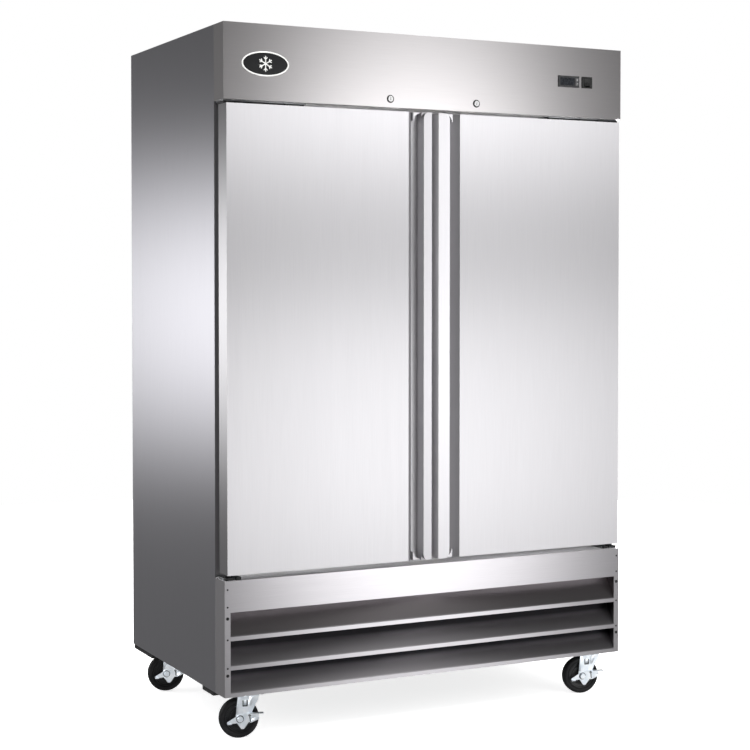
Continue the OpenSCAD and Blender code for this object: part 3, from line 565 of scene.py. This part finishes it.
def skin_rings(bm, rings, frame_matrix, closed=False):
    """Joins rings of points with quads. The ends are capped, or joined to each other when closed."""
    made = [[bm.verts.new(frame_matrix @ point) for point in ring] for ring in rings]
    pairs = list(zip(made, made[1:] + made[:1] if closed else made[1:]))
    for first, second in pairs:
        count = len(first)
        for index in range(count):
            after = (index + 1) % count
            bm.faces.new((first[index], first[after], second[after], second[index]))
    if not closed:
        bm.faces.new(made[0])
        bm.faces.new(made[-1])


def lathe(bm, profile, frame_matrix, segments=32, closed=False):
    """Revolves a profile of (radius, height) about the local Z axis."""
    rings = [ring_points(radius, height, segments) for radius, height in profile]
    skin_rings(bm, rings, frame_matrix, closed)


def rod(bm, start, end, radius, segments=8):
    """Round bar with flat ends."""
    span = Vector(end) - Vector(start)
    lathe(bm, [(radius, 0), (radius, span.length)], facing(start, span), segments)


def wire(bm, points, radius, segments=8, closed=False):
    """Sweeps a round section along points."""
    rings = []
    count = len(points)
    for index, point in enumerate(points):
        before = points[index - 1] if closed or index else point
        after = points[(index + 1) % count] if closed or index < count - 1 else point
        turn = facing(point, after - before)
        rings.append([turn @ spot for spot in ring_points(radius, 0, segments)])
    skin_rings(bm, rings, Matrix.Identity(4), closed)


def block(bm, low, high, bevel=0.0):
    """A box between two corners, with its edges rounded where a bevel is given."""
    middle = (Vector(low) + Vector(high)) / 2
    size = Vector(high) - Vector(low)
    fit = Matrix.Translation(middle) @ Matrix.Diagonal((*size, 1))
    made = bmesh.ops.create_cube(bm, size=1, matrix=fit)
    if bevel:
        edges = {edge for vert in made["verts"] for edge in vert.link_edges}
        bmesh.ops.bevel(bm, geom=list(edges), offset=bevel, segments=2, affect="EDGES", profile=0.5)


def screw(bm, place, direction, radius):
    """Pan-head screw with a four-pointed driver recess."""
    height = radius * 0.55
    segments = 16
    waist = 0.16
    outer = [ring_points(radius * scale, height * rise, segments)
             for scale, rise in ((1.0, 0.0), (1.0, 0.25), (0.86, 0.72), (0.6, 0.96))]
    recess = []
    for rise, reach in ((1.0, 0.46), (0.35, 0.34)):
        points = ring_points(1, height * rise, segments)
        for index, point in enumerate(points):
            on_arm = index % (segments // 4) == 0
            point.xy *= radius * (reach if on_arm else waist)
        recess.append(points)
    skin_rings(bm, outer + recess, facing(place, direction))


def hex_bolt(bm, place, direction, radius, height):
    """Hexagon head with a chamfered top over a round washer face."""
    frame_matrix = facing(place, direction)
    washer, washer_height, shoulder = radius * 1.15, height * 0.18, height * 0.82
    lathe(bm, [(washer, 0), (washer, washer_height)], frame_matrix, 24)
    head = [(radius, washer_height), (radius, shoulder), (radius * 0.86, height)]
    lathe(bm, head, frame_matrix, segments=6)


def arc(centre, first, second, radius, start, end, steps):
    """Points on an arc about a centre, from one unit direction towards another. Angles in degrees."""
    points = []
    for index in range(steps + 1):
        angle = math.radians(start + (end - start) * index / steps)
        points.append(Vector(centre) + radius * (math.cos(angle) * first + math.sin(angle) * second))
    return points


# ---------- header ----------

def make_badge():
    """Domed black oval with a white rim and a plain six-armed snow crystal."""
    low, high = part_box("badge")
    centre = Vector(((low.x + high.x) / 2, high.y, (low.z + high.z) / 2))
    front = facing(centre, FORWARD)
    width, height = (high.x - low.x) / 2, (high.z - low.z) / 2
    rim = 0.0042
    dome = 0.0022

    bm = bmesh.new()
    rings = [oval(width - rim * inset, height - rim * inset, level)
             for inset, level in ((0.8, 0.0), (0.8, 0.0015), (3, 0.0019), (7, dome))]
    skin_rings(bm, rings, front)
    make_piece("badge_plate", bm, "badge_black", "cabinet", replaces=("badge",))

    bm = bmesh.new()
    rings = [oval(width - rim * inset, height - rim * inset, level)
             for inset, level in ((0, 0.0), (0, 0.0014), (0.3, 0.0021), (0.7, 0.0021), (1.0, 0.0014),
                                  (1.0, 0.0))]
    skin_rings(bm, rings, front, closed=True)
    make_piece("badge_rim", bm, "white_plastic", "cabinet")

    bm = bmesh.new()
    reach = height * 0.62
    branch = reach * 0.36
    middle = centre + FORWARD * dome
    for index in range(6):
        angle = math.radians(90 + index * 60)
        along = math.cos(angle) * RIGHT + math.sin(angle) * UP
        across = math.cos(angle + math.pi / 2) * RIGHT + math.sin(angle + math.pi / 2) * UP
        rod(bm, middle, middle + along * reach, 0.0016, 6)
        fork = middle + along * reach * 0.58
        for side in (-1, 1):
            rod(bm, fork, fork + (along + across * side).normalized() * branch, 0.0013, 6)
    make_piece("badge_mark", bm, "white_plastic", "cabinet")


def make_lock_rings():
    """Bright rings round the two key plugs, each in a black ring painted as the shadow round its edge.
    """
    bore = 0.00805
    rings, shadow_rings = bmesh.new(), bmesh.new()
    for side in SIDES:
        plug = joint_place(f"lock_{side}_turn")
        front = facing((plug.x, FACE_Y, plug.z), FORWARD)
        lathe(rings, [(bore, 0.0), (bore, 0.0026), (bore + 0.0003, 0.0028), (0.0087, 0.0028),
                      (0.0090, 0.0024), (0.0090, 0.0)], front, 48, closed=True)
        # Black ring: painted shadow round the edge of the bright ring.
        lathe(shadow_rings, [(0.0091, 0.0), (0.0091, 0.0020), (0.0110, 0.0020), (0.0119, 0.0010),
                        (0.0120, 0.0)], front, 48, closed=True)
    make_piece("lock_bezels", rings, "chrome", "cabinet", replaces=("lock_rings",))
    make_piece("lock_shadow_rings", shadow_rings, "switch_black", "cabinet")


def make_button_marks():
    """Raised arrow on each of the controller's two buttons."""
    half_width, half_height = 0.0013, 0.0011
    for name, tip in (("up", 1), ("down", -1)):
        low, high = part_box("controller_button_" + name)
        middle = (low + high) / 2
        bm = bmesh.new()
        rings = []
        for scale, level in ((1.0, 0.0), (1.0, 0.0002), (0.8, 0.0004)):
            rings.append([Vector((x * half_width * scale, z * half_height * scale * tip, level))
                          for x, z in ((-1, -0.8), (1, -0.8), (0, 1))])
        skin_rings(bm, rings, facing((middle.x, low.y, middle.z), FORWARD))
        make_piece("button_mark_" + name, bm, "white_plastic", "button_" + name)


# ---------- hinges and screws ----------

def hinge_block(bm, side, x_limits, y_limits, z_limits, bevel):
    """A block near a corner of the front, its x counted inwards from the side and its y from FACE_Y."""
    ends = sorted(side * (HALF_WIDTH - inset) for inset in x_limits)
    y0, y1 = (FACE_Y + depth for depth in y_limits)
    block(bm, (ends[0], y0, z_limits[0]), (ends[1], y1, z_limits[1]), bevel)


def make_hinges():
    """Steel hinge plates with black blocks, bolts and pins in the gaps above and below the doors."""
    door_low, door_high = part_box("door_skin_right")
    top = HEADER_LOW.z - 0.0003
    base = BASE_TOP + 0.0003
    under_plate = top - 0.004
    pin_foot = base + 0.0055
    pin_radius, collar_radius = 0.006, 0.012
    steel, dark = bmesh.new(), bmesh.new()
    for side in SIDES.values():
        for x_limits, z_limits in (((0.266, 0.004), (under_plate, top)),
                                   ((0.058, 0.004), (base, base + 0.006))):
            hinge_block(steel, side, x_limits, (0.014, 0.0747), z_limits, 0.0006)
        for x_limits in ((0.146, 0.076), (0.034, 0.0045)):
            hinge_block(dark, side, x_limits, (0.012, 0.071), (top - 0.0098, under_plate), 0.001)
        for x_limits in ((0.033, 0.006), (0.055, 0.037)):
            hinge_block(dark, side, x_limits, (0.006, 0.014), (base, base + 0.0075), 0.001)
        for inset in (0.256, 0.206):
            spot = (side * (HALF_WIDTH - inset), FACE_Y + 0.024, under_plate)
            hex_bolt(dark, spot, -UP, 0.007, 0.0055)
        x, y = side * (HALF_WIDTH - 0.022), FACE_Y + 0.028
        rod(dark, (x, y, door_high.z - 0.022), (x, y, top - 0.0005), pin_radius, 32)
        rod(dark, (x, y, pin_foot), (x, y, door_low.z + 0.026), pin_radius, 32)
        rod(dark, (x, y, pin_foot), (x, y, door_low.z - 0.0004), collar_radius, 32)
    make_piece("hinge_plates", steel, "galvanised", "cabinet", replaces=("hinge_brackets",),
               finish="hinge_steel")
    make_piece("hinge_pins", dark, "black_paint", "cabinet")


def make_front_screws():
    """Small and large screws in the base's uprights, and one screw a side under the doors."""
    small, large = bmesh.new(), bmesh.new()
    for side in SIDES.values():
        x = side * (HALF_WIDTH - 0.009)
        for drop in (0.025, 0.076, 0.171, 0.254):
            screw(small, (x, FACE_Y, BASE_TOP - drop), FORWARD, 0.0028)
        for drop in (0.109, 0.275):
            screw(large, (x, FACE_Y, BASE_TOP - drop), FORWARD, 0.0048)
        screw(small, (side * 0.303, FACE_Y + 0.075, BASE_TOP + 0.006), FORWARD, 0.0032)
    make_piece("front_screws", small, "black_paint", "cabinet")
    make_piece("grille_screws", large, "black_paint", "cabinet")


def make_rear_screws():
    """Screws round the rear panel's edge."""
    low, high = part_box("rear_panel")
    margin_x, margin_z = 0.010, 0.012
    spaces_across, screws_up = 6, 9
    bm = bmesh.new()
    for side in SIDES.values():
        for index in range(screws_up):
            z = low.z + margin_z + (high.z - low.z - 2 * margin_z) * index / (screws_up - 1)
            screw(bm, (side * (high.x - margin_x), high.y, z), BACK, 0.004)
    for z in (low.z + margin_z, high.z - margin_z):
        for index in range(1, spaces_across):
            x = low.x + margin_x + (high.x - low.x - 2 * margin_x) * index / spaces_across
            screw(bm, (x, high.y, z), BACK, 0.004)
    make_piece("rear_screws", bm, "zinc", "cabinet")


# ---------- doors ----------

# A seal's section: how far inwards from its outer edge, and how far back from its front face.
GASKET_PROFILE = ((0.001, 0.0), (0.014, 0.0), (0.014, 0.002), (0.0115, 0.0035), (0.014, 0.005),
                  (0.014, 0.007), (0.0115, 0.0085), (0.015, 0.010), (0.015, 0.0132), (0.0142, 0.0141),
                  (0.0008, 0.0141), (0.0, 0.0132), (0.0, 0.010), (0.0035, 0.0085), (0.001, 0.007),
                  (0.001, 0.005), (0.0035, 0.0035), (0.001, 0.002))


def make_gasket(side):
    """Bellows seal with a magnet chamber along its rear edge, mitred at the door's four corners."""
    low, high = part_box("door_gasket_" + side)
    corners = ((low.x, low.z, 1, 1), (high.x, low.z, -1, 1), (high.x, high.z, -1, -1),
               (low.x, high.z, 1, -1))
    rings = []
    for x, z, inward_x, inward_z in corners:
        rings.append([Vector((x + inward_x * inset, low.y + depth, z + inward_z * inset))
                      for inset, depth in GASKET_PROFILE])
    bm = bmesh.new()
    skin_rings(bm, rings, Matrix.Identity(4), closed=True)
    make_piece("door_seal_" + side, bm, "gasket_rubber", "door_" + side,
               replaces=("door_gasket_" + side,), crease=50)


# ---------- inside the cabinet ----------

def make_shelves():
    """Coated wire shelves: a rounded rod frame, two stiffeners and close front-to-back wires."""
    low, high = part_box("wire_shelves")
    inner_x = 0.022
    thick, thin = 0.003, 0.0016          # radii of the frame's rod and of the wires
    corner = 0.014
    shelves, spaces = 3, 26
    lift = 0.0022                        # the wires lie this far above the frame's middle
    bm = bmesh.new()
    for side in SIDES.values():
        ends = sorted((side * inner_x, side * high.x))
        x0, x1 = ends[0] + thick, ends[1] - thick
        y0, y1 = low.y + thick, high.y - thick
        for index in range(shelves):
            z = low.z + thick + (high.z - low.z - 2 * thick) * index / (shelves - 1)
            outline = []
            for x, y, start in ((x1 - corner, y1 - corner, 0), (x0 + corner, y1 - corner, 90),
                                (x0 + corner, y0 + corner, 180), (x1 - corner, y0 + corner, 270)):
                outline += arc((x, y, z), RIGHT, BACK, corner, start, start + 90, 5)
            wire(bm, outline, thick, 8, closed=True)
            for y in (y0 + 0.18, y1 - 0.18):
                rod(bm, (x0, y, z), (x1, y, z), thick * 0.9)
            for step in range(1, spaces):
                x = x0 + (x1 - x0) * step / spaces
                rod(bm, (x, y0, z + lift), (x, y1, z + lift), thin, 6)
    make_piece("shelf_wires", bm, "shelf_coating", "cabinet", replaces=("wire_shelves",))


def make_coil_fins(node_name, name, x0, x1, pitch):
    """Thin fins between two tube plates."""
    low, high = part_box(node_name)
    plate, half_fin = 0.002, 0.0001
    bm = bmesh.new()
    for x in (x0, x1 - plate):
        block(bm, (x, low.y, low.z), (x + plate, high.y, high.z), 0.0004)
    count = round((x1 - x0) / pitch)
    for index in range(1, count):
        x = x0 + (x1 - x0) * index / count
        block(bm, (x - half_fin, low.y + 0.004, low.z + 0.006),
              (x + half_fin, high.y - 0.002, high.z - 0.006))
    make_piece(name + "_fins", bm, "coil_aluminium", "cabinet", replaces=(node_name,))


def make_coil_tubes(node_name, name, x0, x1, rows, end_gap):
    """Rows of tube that run just past the plates, joined in pairs by return bends."""
    low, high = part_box(node_name)
    radius = 0.0045
    x0, x1 = x0 - 0.001, x1 + 0.001
    y = (low.y + high.y) / 2
    pitch = (high.z - low.z) / (rows + 1)
    bend_radius = min(pitch / 2, end_gap - radius)
    lead = (pitch / 2 - bend_radius) * UP
    bm = bmesh.new()
    for row in range(rows):
        z = low.z + pitch * (row + 1)
        rod(bm, (x0, y, z), (x1, y, z), radius, 12)
    for end, outward, first in ((x0, -RIGHT, 0), (x1, RIGHT, 1)):
        for row in range(first, rows - 1, 2):
            z = low.z + pitch * (row + 1.5)
            points = arc((end, y, z), -UP, outward, bend_radius, 0, 180, 12)
            wire(bm, [points[0] - lead] + points + [points[-1] + lead], radius, 12)
    make_piece(name + "_tubes", bm, "copper", "cabinet")


def make_coil(node_name, name, end_gap, fin_pitch, rows):
    """Finned coil, with its return bends in the gaps outside its two tube plates."""
    low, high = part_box(node_name)
    x0, x1 = low.x + end_gap, high.x - end_gap
    make_coil_fins(node_name, name, x0, x1, fin_pitch)
    make_coil_tubes(node_name, name, x0, x1, rows, end_gap)


def make_fan_guards():
    """Wire guards over the two evaporator fans: four rings on four spokes."""
    bm = bmesh.new()
    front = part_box("evaporator_housing")[0].y - 0.003
    steps = 48
    turn = 360 / steps
    behind = BACK * 0.0022
    for side in SIDES:
        low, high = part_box("evaporator_fan_" + side)
        centre = Vector(((low.x + high.x) / 2, front, (low.z + high.z) / 2))
        for radius in (0.061, 0.046, 0.031, 0.016):
            ring = arc(centre, RIGHT, UP, radius, 0, 360 - turn, steps - 1)
            wire(bm, ring, 0.0011, 6, closed=True)
        for index in range(4):
            angle = math.radians(45 + index * 90)
            out = math.cos(angle) * RIGHT + math.sin(angle) * UP
            rod(bm, centre + out * 0.014 + behind, centre + out * 0.064 + behind, 0.0013, 6)
            screw(bm, centre + out * 0.0655 + BACK * 0.003, FORWARD, 0.0035)
    make_piece("fan_guards", bm, "chrome", "cabinet")


# ---------- condensing unit ----------

def make_compressor_trim():
    """Weld seam round the compressor's shell and rubber grommets under its feet."""
    low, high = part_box("compressor")
    axis = Vector((0.330, FACE_Y + 0.470, 0))
    seam_z = low.z + (high.z - low.z) * 0.52
    seam = [(0.0772, -0.005), (0.0810, -0.0035), (0.0816, 0.0), (0.0810, 0.0035), (0.0772, 0.005)]
    bm = bmesh.new()
    lathe(bm, seam, Matrix.Translation(axis + UP * seam_z), 64, closed=True)
    make_piece("compressor_seam", bm, "motor_grey", "cabinet")

    grommet = [(0.0121, 0.001), (0.0145, 0.002), (0.0145, 0.005), (0.0125, 0.0065), (0.0145, 0.008),
               (0.0145, 0.0115), (0.0121, 0.0125)]
    bm = bmesh.new()
    for x in (-0.088, 0.088):
        for y in (-0.054, 0.054):
            foot = Matrix.Translation(axis + Vector((x, y, low.z)))
            lathe(bm, grommet, foot, 32, closed=True)
    make_piece("compressor_grommets", bm, "wheel_rubber", "cabinet")


def make_gland_nut():
    """Clamping nut with grip flats round the mouth of the power inlet."""
    low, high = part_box("power_inlet")
    centre = Vector(((low.x + high.x) / 2, high.y - 0.009, (low.z + high.z) / 2))
    bore, flat = 0.0112, 0.955
    bm = bmesh.new()
    rings = []
    for radius, level in ((bore, 0.0), (0.0150, 0.0), (0.0155, 0.0008), (0.0155, 0.0062),
                          (0.0135, 0.0078), (bore, 0.0082)):
        points = ring_points(radius, level, 36)
        for index, point in enumerate(points):
            if radius > bore and index % 3 == 0:
                point.xy *= flat
        rings.append(points)
    skin_rings(bm, rings, facing(centre, BACK), closed=True)
    make_piece("gland_nut", bm, "switch_black", "cabinet")


# ---------- casters ----------

# Half of each profile: radius, and distance from the wheel's middle plane.
TYRE_HALF = ((0.0425, 0.0120), (0.0450, 0.0142), (0.0480, 0.0150), (0.0530, 0.0150),
             (0.0560, 0.0138), (0.0580, 0.0110), (0.0588, 0.0070))
HUB_HALF = ((0.00505, 0.0170), (0.0150, 0.0170), (0.0158, 0.0162), (0.0160, 0.0090),
            (0.0180, 0.0075), (0.0270, 0.0070), (0.0280, 0.0082), (0.0300, 0.0082),
            (0.0310, 0.0070), (0.0390, 0.0078), (0.0400, 0.0120), (0.0422, 0.0122))
TYRE_TREAD, TYRE_SEAT = (0.0590, 0.0), (0.0418, 0.0)     # the tyre's points in the middle plane


def whole_profile(half, between=()):
    """A profile from its half: its mirror image, any points in the middle plane, and the half."""
    near_half = [(radius, -reach) for radius, reach in half]
    return [*near_half, *between, *reversed(half)]


def make_wheel(name):
    """Round-shouldered rubber tyre on a ribbed black hub."""
    roll = f"wheel_{name}_roll"
    frame_matrix = facing(joint_place(roll), JOINTS[roll]["axis"])
    tyre = bmesh.new()
    profile = whole_profile(TYRE_HALF, [TYRE_TREAD]) + [TYRE_SEAT]
    lathe(tyre, profile, frame_matrix, 96, closed=True)
    make_piece("tyre_" + name, tyre, "wheel_rubber", "wheel_" + name,
               replaces=("caster_wheel_" + name,), crease=60)

    hub = bmesh.new()
    lathe(hub, whole_profile(HUB_HALF), frame_matrix, 64, closed=True)
    for index in range(6):
        turn = Matrix.Rotation(math.radians(index * 60), 4, "Z")
        for face in (-1, 1):
            rib = [frame_matrix @ turn @ Vector((x, 0, face * 0.0078)) for x in (0.0155, 0.0285)]
            rod(hub, *rib, 0.0014)
    make_piece("hub_" + name, hub, "fan_plastic", "wheel_" + name)


def make_caster_bolts():
    """Four hexagon bolts under each mounting plate."""
    bm = bmesh.new()
    plate_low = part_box("caster_plates")[1].z - 0.003
    for name in CASTERS:
        swivel = joint_place(f"caster_{name}_swivel")
        for x in (-0.038, 0.038):
            for y in (-0.032, 0.032):
                hex_bolt(bm, (swivel.x + x, swivel.y + y, plate_low), -UP, 0.0058, 0.003)
    make_piece("caster_bolts", bm, "zinc", "cabinet")


def caster_frame(name):
    """A caster's own axes, on the floor under its swivel: X away from the wheel, Z up."""
    swivel = joint_place(f"caster_{name}_swivel")
    wheel = joint_place(f"wheel_{name}_roll")
    across = Vector((swivel.x - wheel.x, swivel.y - wheel.y, 0)).normalized()
    turn = Matrix((across, UP.cross(across), UP)).transposed().to_4x4()
    return Matrix.Translation((swivel.x, swivel.y, 0)) @ turn


def pressing(bm, outline, frame_matrix, near, far):
    """Flat shape with sloping sides on a fork leg. The outline is in X and Z, the depths in Y."""
    middle = sum((Vector((x, 0, z)) for x, z in outline), Vector()) / len(outline)
    shoulder = near + (far - near) * 0.6
    rings = []
    for depth, scale in ((near, 1.0), (shoulder, 1.0), (far, 0.86)):
        corners = (Vector((x, 0, z)) for x, z in outline)
        rings.append([middle + (corner - middle) * scale + Vector((0, depth, 0)) for corner in corners])
    skin_rings(bm, rings, frame_matrix)


def make_fork_details(name):
    """Pressed ribs and pierced tabs on a fork's two legs, with black shapes painted as shadow in the
    tabs' windows and as a ring round the axle.
    """
    frame_matrix = caster_frame(name)
    leg, ring_face = 0.0208, 0.0241
    edge = ((-0.0276, 0.1225), (-0.0335, 0.0745), (-0.0262, 0.0745), (-0.0205, 0.1225))
    rib = ((0.0060, 0.1225), (0.0030, 0.1000), (0.0120, 0.0960), (0.0230, 0.1225))
    # Black window round each tab: painted shadow in the opening.
    window = ((-0.0140, 0.1130), (-0.0140, 0.0950), (0.0010, 0.0950), (0.0010, 0.1130))
    tab = ((-0.0115, 0.1150), (-0.0115, 0.0985), (-0.0025, 0.0985), (-0.0025, 0.1150))
    steel, dark = bmesh.new(), bmesh.new()
    for side in (-1, 1):
        for bm, outline, rise in ((steel, edge, 0.0020), (steel, rib, 0.0014), (dark, window, 0.0005),
                                  (steel, tab, 0.0016)):
            pressing(bm, outline, frame_matrix, side * leg, side * (leg + rise))
    outward = frame_matrix.to_3x3() @ FORWARD
    axle = joint_place(f"wheel_{name}_roll")
    # Black ring round the axle: painted shadow.
    lathe(dark, [(0.0092, 0.0), (0.0092, 0.0008), (0.0108, 0.0008), (0.0112, 0.0)],
          facing(axle + outward * ring_face, outward), 48, closed=True)
    make_piece("fork_pressings_" + name, steel, "zinc", "caster_" + name)
    make_piece("fork_shadows_" + name, dark, "black_paint", "caster_" + name)


def make_lever_details(name):
    """Raised rim on a brake lever, with black shapes painted as shadow in its slot and in its rivet
    hole.
    """
    frame_matrix = caster_frame(name)
    lever, rivet_face = -0.0238, -0.0240
    hub = frame_matrix.inverted() @ joint_place(f"wheel_{name}_roll")
    # Black slot: painted shadow in the opening.
    slot = ((0.0275, 0.006), (0.0305, 0.006), (0.0320, -0.0095), (0.0295, -0.0095))
    rim = ((0.0340, -0.0080), (0.0560, 0.0000), (0.0545, 0.0070), (0.0360, 0.0020))
    steel, dark = bmesh.new(), bmesh.new()
    for bm, outline, rise in ((dark, slot, 0.0005), (steel, rim, 0.0014)):
        at_hub = [(hub.x + x, hub.z + z) for x, z in outline]
        pressing(bm, at_hub, frame_matrix, lever, lever - rise)
    # Black ring at the rivet: painted shadow of its hole.
    rivet = frame_matrix @ Vector((hub.x + 0.0285, rivet_face, hub.z + 0.0100))
    lathe(dark, [(0.0012, 0.0), (0.0012, 0.0010), (0.0034, 0.0010), (0.0038, 0.0)],
          facing(rivet, frame_matrix.to_3x3() @ FORWARD), 24, closed=True)
    make_piece("lever_pressings_" + name, steel, "zinc", "brake_" + name)
    make_piece("lever_shadows_" + name, dark, "black_paint", "brake_" + name)


def make_details():
    make_badge()
    make_lock_rings()
    make_button_marks()
    make_hinges()
    make_front_screws()
    make_rear_screws()
    for side in SIDES:
        make_gasket(side)
    make_shelves()
    make_coil("condenser_coil", "condenser", end_gap=0.010, fin_pitch=0.0028, rows=5)
    make_coil("evaporator_coil", "evaporator", end_gap=0.002, fin_pitch=0.006, rows=3)
    make_fan_guards()
    make_compressor_trim()
    make_gland_nut()
    make_caster_bolts()
    for name in CASTERS:
        make_wheel(name)
        make_fork_details(name)
        make_lever_details(name)


bpy.context.scene.view_settings.view_transform = "Standard"
make_camera()
make_world()
make_floor()
dress_cad_nodes()
make_details()
make_lights()
